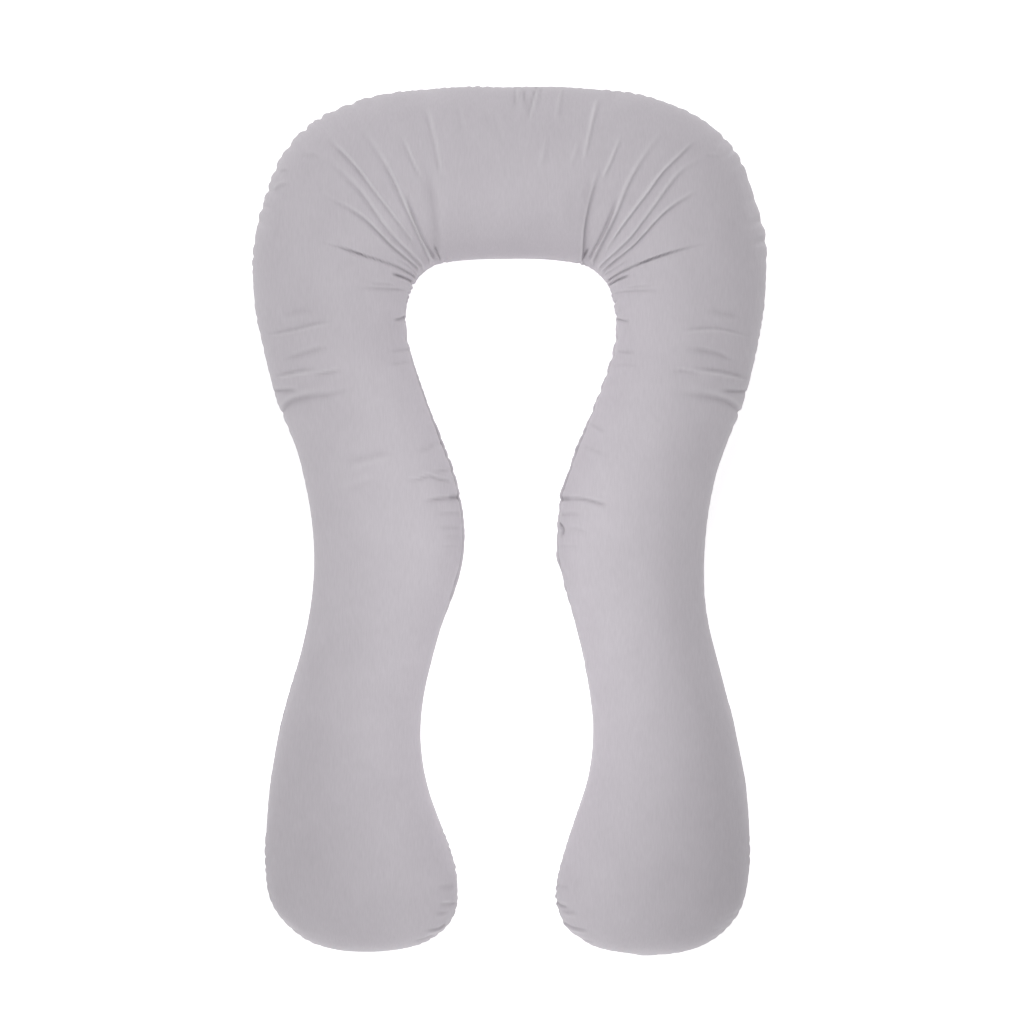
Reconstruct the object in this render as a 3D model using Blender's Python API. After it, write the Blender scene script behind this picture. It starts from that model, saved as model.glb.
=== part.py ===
"""U-shaped body pillow: one filled, sewn cloth solid lying on its back.

Frame: metres, +Z up, the surface it lies on at z = 0, the origin under the middle of the outline,
+Y towards the closed head end and +X to the right of someone looking down with the head end up.

The cover is two U-shaped panels sewn together round the outline. The solid is a loft: each section
runs from the outer edge to the inner edge, is crowned on top, drawn in at the seam and flat where it
lies on the surface. Folds are troughs with soft shoulders, pressed along the surface's normals.
"""
from collections import namedtuple

import bmesh
import bpy
import numpy as np

MM = 0.001

# Driving dimensions, in metres unless a comment says otherwise.
SEAM_HEIGHT = 0.085        # height of the seam above the surface
SEAM_DRAW = 0.006          # how far the stitching pulls the seam in behind the swell
SIDE_SWELL = 0.0020        # how far the sides swell out past the sections' edge points
SEAM_REACH = 0.10          # part of a quarter of the section that the drawn-in valley takes
CROWN_POWER = 0.88         # below 1 the crown is fuller than half an ellipse
CONTACT = 0.46             # part of the width that lies on the surface
NARROWEST = 0.06           # half width below which the swell and the draw shrink towards the tip
LEG_SHIFT = -0.005         # both legs lie a little to the left of the head's middle line
SHIFT_FROM = 0.15          # the shift starts at this Y
SHIFT_TO = -0.35           # and is complete at this Y

TOP_STEPS = 14             # faces across the top panel
SIDE_STEPS = 4             # faces from the seam down to the surface, on each side
BASE_STEPS = 3             # faces across the flat base

CLOTH_COLOUR = (0.553, 0.521, 0.560, 1.0)
CLOTH_ROUGHNESS = 0.9
CLOTH_METALLIC = 0.0

Section = namedtuple("Section", "place outer_x outer_y inner_x inner_y crown drop steps")
Fold = namedtuple("Fold", "place side start middle end width depth rim")

# One half of the U, from the middle of the head to the tip of a leg, in millimetres. Each row is a
# section: a point of the outer edge, a point of the inner edge, the crown's height over the seam,
# the underside's depth below it, and the number of steps to the next row.
SECTIONS = [
    #        place          outer x, y   inner x, y  crown drop steps
    Section("head middle",    0,  758,     0,  461,  103,  85,  4),
    Section("head",          74,  759,    62,  460,  104,  85,  5),
    Section("corner start", 146,  755,   113,  455,  107,  85,  5),
    Section("corner 1",     220,  747,   136,  448,  110,  85,  4),
    Section("corner 2",     290,  725,   152,  438,  113,  85,  4),
    Section("corner 3",     352,  690,   163,  427,  116,  85,  4),
    Section("corner 4",     401,  637,   172,  415,  117,  85,  4),
    Section("corner 5",     426,  572,   178,  401,  116,  85,  4),
    Section("corner 6",     446,  500,   183,  384,  113,  85,  4),
    Section("shoulder",     451,  434,   186,  362,  109,  85,  4),
    Section("upper leg",    446,  368,   186,  336,  105,  85,  4),
    Section("upper leg 2",  434,  304,   180,  302,  102,  85,  5),
    Section("upper leg 3",  415,  227,   155,  227,   99,  85,  6),
    Section("upper leg 4",  387,  153,   128,  153,   96,  85,  4),
    Section("waist",        361,   73,    98,   73,   93,  85,  5),
    Section("waist 2",      347,  -10,    82,  -10,   91,  85,  4),
    Section("waist 3",      344,  -89,    87,  -89,   88,  85,  3),
    Section("knee",         349, -162,   110, -162,   85,  85,  3),
    Section("knee 2",       366, -238,   132, -238,   83,  85,  3),
    Section("calf",         387, -316,   147, -316,   84,  85,  3),
    Section("calf 2",       405, -390,   151, -390,   88,  85,  3),
    Section("foot",         419, -471,   138, -471,   94,  85,  3),
    Section("foot 2",       425, -548,   111, -548,   99,  85,  3),
    Section("foot 3",       424, -614,    91, -614,   99,  85,  3),
    Section("foot 4",       415, -671,    88, -671,   93,  81,  3),
    Section("foot end",     388, -711,   103, -711,   79,  69,  3),
    Section("foot end 2",   354, -738,   135, -737,   60,  53,  3),
    Section("foot end 3",   311, -754,   180, -753,   36,  32,  3),
    Section("tip",          249, -760,   249, -760,    0,   0,  0),
]

LEFT, RIGHT = -1, 1

# The main folds of the top panel, in millimetres. Each bends from its start through its middle point
# and dies out at its end. The rim is the part of its depth that it has at its start, 1 where it runs
# into the seam.
FOLDS = [
    #    place          side    start        middle       end          width depth rim
    Fold("corner a",    LEFT,  (164, 424), (240, 452), (324, 474),  9,  6.0, 1.0),
    Fold("corner b",    LEFT,  (163, 438), (240, 505), (316, 555),  9,  5.0, 0.7),
    Fold("corner c",    LEFT,  (171, 462), (250, 550), (316, 610), 11,  3.5, 0.0),
    Fold("corner d",    LEFT,  (172, 487), (236, 567), (308, 643),  9,  5.0, 0.0),
    Fold("corner e",    LEFT,  (131, 455), (200, 590), (266, 686), 10,  5.0, 1.0),
    Fold("corner h",    LEFT,  (122, 455), (130, 472), (141, 496),  8,  6.0, 1.0),
    Fold("head",        LEFT,  (130, 480), (124, 620), (145, 718), 16,  2.5, 0.0),
    Fold("corner a",   RIGHT,  (173, 422), (260, 451), (334, 475),  9,  6.0, 1.0),
    Fold("corner b",   RIGHT,  (178, 440), (255, 515), (318, 552),  9,  5.0, 0.5),
    Fold("corner c",   RIGHT,  (178, 470), (255, 555), (330, 611), 10,  4.0, 0.0),
    Fold("corner d",   RIGHT,  (178, 495), (240, 568), (316, 645), 10,  4.0, 0.0),
    Fold("corner e",   RIGHT,  (144, 456), (190, 555), (272, 680), 10,  5.0, 1.0),
    Fold("head",       RIGHT,  (124, 452), (124, 520), (146, 606), 10,  5.0, 1.0),
    Fold("head 2",     RIGHT,  (125, 605), (135, 680), (148, 724), 12,  2.5, 0.3),
    Fold("shoulder",    LEFT,  (396, 191), (345, 214), (262, 228), 10,  5.5, 0.5),
    Fold("shoulder 2",  LEFT,  (411, 247), (354, 254), (308, 259), 11,  3.0, 0.3),
    Fold("shoulder 3",  LEFT,  (382, 278), (361, 284), (336, 292), 11,  2.5, 0.0),
    Fold("shoulder",   RIGHT,  (396, 191), (365, 208), (290, 221), 10,  5.5, 0.5),
    Fold("shoulder 2", RIGHT,  (409, 246), (368, 252), (327, 257), 11,  3.0, 0.3),
    Fold("shoulder 3", RIGHT,  (396, 316), (360, 322), (324, 331), 12,  2.5, 0.0),
    Fold("waist",       LEFT,  ( 90,  40), (122,  37), (152,  29), 10,  5.0, 1.0),
    Fold("waist 2",     LEFT,  (110,  67), (138,  73), (168,  65), 12,  2.5, 0.6),
    Fold("waist",      RIGHT,  ( 90,  38), (124,  37), (160,  28), 10,  5.0, 1.0),
    Fold("waist 3",    RIGHT,  ( 84,  -7), ( 92, -20), ( 84, -31), 10,  4.0, 1.0),
]


def clear_scene():
    """Remove every object, so that the model is alone in the file."""
    for scene_object in list(bpy.data.objects):
        bpy.data.objects.remove(scene_object, do_unlink=True)


def smoothstep(low, high, value):
    """Rise from 0 at low to 1 at high with level ends; low may be the larger one."""
    part = np.clip((value - low) / (high - low), 0.0, 1.0)
    return part * part * (3.0 - 2.0 * part)


def closed_spline(points):
    """Slopes of the smooth closed curve through the points, one unit of parameter apart."""
    count = len(points)
    matrix = 4.0 * np.eye(count)
    matrix += np.roll(np.eye(count), 1, axis=1) + np.roll(np.eye(count), -1, axis=1)
    rates = 3.0 * (np.roll(points, -1, axis=0) - np.roll(points, 1, axis=0))
    return np.linalg.solve(matrix, rates)


def on_spline(points, slopes, parameter):
    """Points of the closed curve at an array of parameters."""
    count = len(points)
    whole = np.floor(parameter).astype(int)
    t = (parameter - whole)[:, None]
    here = whole % count
    there = (whole + 1) % count
    value = points[here] * (2 * t**3 - 3 * t**2 + 1) + slopes[here] * (t**3 - 2 * t**2 + t)
    value += points[there] * (3 * t**2 - 2 * t**3) + slopes[there] * (t**3 - t**2)
    return value


def outline_loop():
    """Every edge point once round: outer left, inner left, inner right and outer right.

    Each point is x, y, crown and drop. The tips count once, and so do the two middle points.
    """
    outer = np.array([(row.outer_x, row.outer_y, row.crown, row.drop) for row in SECTIONS], float)
    inner = np.array([(row.inner_x, row.inner_y, row.crown, row.drop) for row in SECTIONS], float)
    # Past a tip the heights go on as if they passed through zero, which keeps the tip round.
    inner[:, 2:] *= -1.0
    left = np.concatenate([outer, inner[-2::-1]])
    left[:, 0] *= LEFT
    right = np.concatenate([inner[1:], outer[-2:0:-1]])
    return np.concatenate([left, right]) * MM


def station_parameters():
    """Section parameters from the left tip (negative) over the head middle (0) to the right tip."""
    half = []
    for index, row in enumerate(SECTIONS[:-1]):
        half.extend(index + step / row.steps for step in range(row.steps))
    half = np.array(half[1:])
    return np.concatenate([-half[::-1], [0.0], half])


def sections(parameters):
    """Outer point, inner point, crown and drop of the section at each parameter."""
    loop = outline_loop()
    slopes = closed_spline(loop)
    last = len(SECTIONS) - 1
    count = len(loop)
    outer = on_spline(loop, slopes, np.where(parameters <= 0, -parameters, count - parameters))
    inner = on_spline(loop, slopes, 2.0 * last + parameters)
    crown = np.abs(outer[:, 2])
    drop = np.minimum(np.abs(outer[:, 3]), SEAM_HEIGHT)
    return outer[:, :2], inner[:, :2], crown, drop


def ring_profile():
    """Unit section, once round from the outer seam over the top and back under.

    Each row is the place across (-1 outer, 1 inner), the height (1 crown, 0 seam, -1 base) and the
    part of the seam's draw that pulls the point in.
    """
    rows = []
    for step in range(TOP_STEPS):
        angle = np.pi * step / TOP_STEPS
        lift = np.sin(angle)
        rows.append((-np.cos(angle), lift**CROWN_POWER, valley(lift)))
    for step in range(SIDE_STEPS):
        angle = 0.5 * np.pi * step / SIDE_STEPS
        rows.append((CONTACT + (1.0 - CONTACT) * np.cos(angle), -np.sin(angle), valley(np.sin(angle))))
    for step in range(BASE_STEPS):
        rows.append((CONTACT * (1.0 - 2.0 * step / BASE_STEPS), -1.0, 0.0))
    for step in range(SIDE_STEPS):
        angle = 0.5 * np.pi * (1.0 - step / SIDE_STEPS)
        rows.append((-CONTACT - (1.0 - CONTACT) * np.cos(angle), -np.sin(angle), valley(np.sin(angle))))
    return np.array(rows)


def valley(height):
    """Depth of the drawn-in seam at a height over or under it, as a part of SEAM_DRAW."""
    return np.exp(-(height / SEAM_REACH) ** 2)


def body_grid(parameters):
    """Points of the smooth body: a ring of points for each station."""
    outer, inner, crown, drop = sections(parameters)
    profile = ring_profile()
    across = profile[:, 0]
    height = profile[:, 1]
    chord = 0.5 * (inner - outer)
    half_width = np.linalg.norm(chord, axis=1)
    swell = SIDE_SWELL - SEAM_DRAW * profile[:, 2]
    reach = across * (1.0 + swell / np.maximum(half_width, NARROWEST)[:, None])
    grid = np.zeros((len(parameters), len(profile), 3))
    middle = 0.5 * (inner + outer)
    grid[:, :, :2] = middle[:, None, :] + chord[:, None, :] * reach[:, :, None]
    above = np.clip(height, 0.0, 1.0)
    below = np.clip(height, -1.0, 0.0)
    grid[:, :, 2] = SEAM_HEIGHT + crown[:, None] * above + drop[:, None] * below
    return grid


def grid_normals(grid):
    """Outward unit normals of the grid."""
    along = np.gradient(grid, axis=0)
    round_it = np.roll(grid, -1, axis=1) - np.roll(grid, 1, axis=1)
    normal = np.cross(round_it, along)
    return normal / np.linalg.norm(normal, axis=2, keepdims=True)


def fold_path(fold):
    """The fold's line on the plan, as a curve through its three points."""
    start, middle, end = (np.array((fold.side * p[0], p[1]), float) * MM
                          for p in (fold.start, fold.middle, fold.end))
    control = 2.0 * middle - 0.5 * (start + end)
    t = np.linspace(0.0, 1.0, 13)[:, None]
    return start * (1 - t) ** 2 + control * 2 * t * (1 - t) + end * t**2


def fold_depth(fold, grid):
    """How deep the fold presses each point of the grid."""
    path = fold_path(fold)
    plan = grid[:, :, :2]
    best = np.full(plan.shape[:2], np.inf)
    place = np.zeros(plan.shape[:2])
    for index in range(len(path) - 1):
        first = path[index]
        run = path[index + 1] - first
        t = np.clip(((plan - first) @ run) / (run @ run), 0.0, 1.0)
        distance = np.linalg.norm(plan - first - t[:, :, None] * run, axis=2)
        nearer = distance < best
        best = np.where(nearer, distance, best)
        place = np.where(nearer, (index + t) / (len(path) - 1), place)
    width = fold.width * MM
    trough = np.exp(-(best / width) ** 2) - 0.35 * np.exp(-((best - 2.0 * width) / width) ** 2)
    fade_in = fold.rim + (1.0 - fold.rim) * smoothstep(0.0, 0.3, place)
    fade_out = smoothstep(1.0, 0.45, place)
    side_fade = smoothstep(0.0, SEAM_HEIGHT, grid[:, :, 2])
    return fold.depth * MM * trough * fade_in * fade_out * side_fade


def press_folds(grid):
    """Press every fold into the body along its normals."""
    depth = sum(fold_depth(fold, grid) for fold in FOLDS)
    pressed = grid - depth[:, :, None] * grid_normals(grid)
    on_base = grid[:, :, 2] < 1e-6
    pressed[on_base] = grid[on_base]
    pressed[:, :, 2] = np.maximum(pressed[:, :, 2], 0.0)
    return pressed


def shift_legs(grid):
    """Lay both legs a little to one side of the head's middle line."""
    shifted = grid.copy()
    shifted[:, :, 0] += LEG_SHIFT * smoothstep(SHIFT_FROM, SHIFT_TO, grid[:, :, 1])
    return shifted


def tip_point(side):
    """The end of a leg, where the seam turns from the outer edge to the inner one."""
    tip = SECTIONS[-1]
    return (side * tip.outer_x * MM + LEG_SHIFT, tip.outer_y * MM, SEAM_HEIGHT)


def loft(grid):
    """One closed mesh through the rings, closed by a fan of faces at each tip."""
    mesh = bmesh.new()
    rings = [[mesh.verts.new(point) for point in ring] for ring in grid]
    count = len(rings[0])
    for ring, following in zip(rings, rings[1:]):
        for index in range(count):
            after = (index + 1) % count
            mesh.faces.new((ring[index], following[index], following[after], ring[after]))
    # A negative parameter is the left leg, so the first ring is at the left tip.
    for ring, side, turn in ((rings[0], LEFT, 1), (rings[-1], RIGHT, -1)):
        tip = mesh.verts.new(tip_point(side))
        for index in range(count):
            corners = (ring[index], ring[(index + 1) % count], tip)
            mesh.faces.new(corners[::turn])
    bmesh.ops.recalc_face_normals(mesh, faces=mesh.faces)
    return mesh


def cloth_material():
    material = bpy.data.materials.new("jersey_cover")
    material.use_nodes = True
    shader = material.node_tree.nodes["Principled BSDF"]
    shader.inputs["Base Color"].default_value = CLOTH_COLOUR
    shader.inputs["Roughness"].default_value = CLOTH_ROUGHNESS
    shader.inputs["Metallic"].default_value = CLOTH_METALLIC
    return material


def build_pillow(collection):
    """The sewn and filled pillow as one solid."""
    body = body_grid(station_parameters())
    form = loft(shift_legs(press_folds(body)))
    mesh = bpy.data.meshes.new("pillow")
    form.to_mesh(mesh)
    form.free()
    mesh.shade_smooth()
    mesh.materials.append(cloth_material())
    pillow = bpy.data.objects.new("pillow", mesh)
    collection.objects.link(pillow)
    return pillow


def main():
    clear_scene()
    collection = bpy.data.collections.new("body_pillow")
    bpy.context.scene.collection.children.link(collection)
    build_pillow(collection)


main()
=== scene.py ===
"""Looks of the U-shaped body pillow: its sewn jersey cover with every fold, the light and the camera.

The cover is one closed form on the same sections as the solid it replaces, drawn much finer. It is
made in four steps: the smooth stuffed body with its broad folds, lumps and puckers, a cloth
simulation that lets the loose jersey swell and buckle between the seams, the narrow creases with
the stitched seam, and the knitted cloth. Lengths are in metres unless a name or a comment says mm.
"""
from collections import namedtuple

import bmesh
import bpy
import numpy as np
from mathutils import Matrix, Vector, noise


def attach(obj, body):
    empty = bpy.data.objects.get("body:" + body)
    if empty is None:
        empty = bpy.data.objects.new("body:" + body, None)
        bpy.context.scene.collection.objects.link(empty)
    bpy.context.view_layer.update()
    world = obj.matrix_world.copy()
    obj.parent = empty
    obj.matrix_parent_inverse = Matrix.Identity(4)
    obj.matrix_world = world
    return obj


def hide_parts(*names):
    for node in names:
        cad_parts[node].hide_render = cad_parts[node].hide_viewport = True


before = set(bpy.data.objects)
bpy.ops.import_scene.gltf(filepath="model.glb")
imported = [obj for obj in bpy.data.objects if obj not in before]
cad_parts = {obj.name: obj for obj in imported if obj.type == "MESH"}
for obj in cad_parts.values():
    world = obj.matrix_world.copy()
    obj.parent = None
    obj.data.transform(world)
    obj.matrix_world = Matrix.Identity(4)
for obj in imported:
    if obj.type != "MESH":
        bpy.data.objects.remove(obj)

MM = 0.001
LEFT, RIGHT = -1, 1

# The sewn form, the same as the solid's.
SEAM_HEIGHT = 0.085         # height of the seam above the surface
SIDE_SWELL = 0.0020         # how far the sides swell out past the sections' edge points
CROWN_POWER = 0.88          # below 1 the crown is fuller than half an ellipse
CONTACT = 0.46              # part of the width that lies on the surface
NARROWEST = 0.06            # half width below which the swell shrinks towards the tip
LEG_SHIFT = -0.005          # both legs lie a little to the left of the head's middle line
SHIFT_FROM = 0.15           # the shift starts at this Y
SHIFT_TO = -0.35            # and is complete at this Y

# How fine the cover is. The top's and the whole ring's counts are even, so that every second point
# of a ring makes the net of the simulation.
TOP_STEPS = 74              # faces across the top panel
SIDE_STEPS = 8              # faces from the seam down to the surface, on each side
BASE_STEPS = 4              # faces across the flat base
EDGE_CROWDING = 0.35        # 0 spreads the top panel's faces evenly, towards 1 crowds them at the seam
SIDE_CROWDING = 1.3         # 1 spreads the faces of the sides evenly, more crowds them at the seam

Section = namedtuple("Section", "place outer_x outer_y inner_x inner_y crown drop steps")

# One half of the U, from the middle of the head to the tip of a leg, in mm: a point of the outer edge,
# a point of the inner edge, the crown's height over the seam, the underside's depth below it and the
# steps to the next row. All but the steps are as in the solid.
SECTIONS = [
    #        place          outer x, y   inner x, y  crown drop steps
    Section("head middle",    0,  758,     0,  461,  103,  85, 18),
    Section("head",          74,  759,    62,  460,  104,  85, 20),
    Section("corner start", 146,  755,   113,  455,  107,  85, 30),
    Section("corner 1",     220,  747,   136,  448,  110,  85, 26),
    Section("corner 2",     290,  725,   152,  438,  113,  85, 26),
    Section("corner 3",     352,  690,   163,  427,  116,  85, 26),
    Section("corner 4",     401,  637,   172,  415,  117,  85, 26),
    Section("corner 5",     426,  572,   178,  401,  116,  85, 24),
    Section("corner 6",     446,  500,   183,  384,  113,  85, 20),
    Section("shoulder",     451,  434,   186,  362,  109,  85, 22),
    Section("upper leg",    446,  368,   186,  336,  105,  85, 22),
    Section("upper leg 2",  434,  304,   180,  302,  102,  85, 24),
    Section("upper leg 3",  415,  227,   155,  227,   99,  85, 26),
    Section("upper leg 4",  387,  153,   128,  153,   96,  85, 20),
    Section("waist",        361,   73,    98,   73,   93,  85, 22),
    Section("waist 2",      347,  -10,    82,  -10,   91,  85, 18),
    Section("waist 3",      344,  -89,    87,  -89,   88,  85, 14),
    Section("knee",         349, -162,   110, -162,   85,  85, 12),
    Section("knee 2",       366, -238,   132, -238,   83,  85, 12),
    Section("calf",         387, -316,   147, -316,   84,  85, 12),
    Section("calf 2",       405, -390,   151, -390,   88,  85, 12),
    Section("foot",         419, -471,   138, -471,   94,  85, 12),
    Section("foot 2",       425, -548,   111, -548,   99,  85, 14),
    Section("foot 3",       424, -614,    91, -614,   99,  85, 14),
    Section("foot 4",       415, -671,    88, -671,   93,  81, 14),
    Section("foot end",     388, -711,   103, -711,   79,  69, 14),
    Section("foot end 2",   354, -738,   135, -737,   60,  53, 16),
    Section("foot end 3",   311, -754,   180, -753,   36,  32, 16),
    Section("tip",          249, -760,   249, -760,    0,   0,  0),
]

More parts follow.
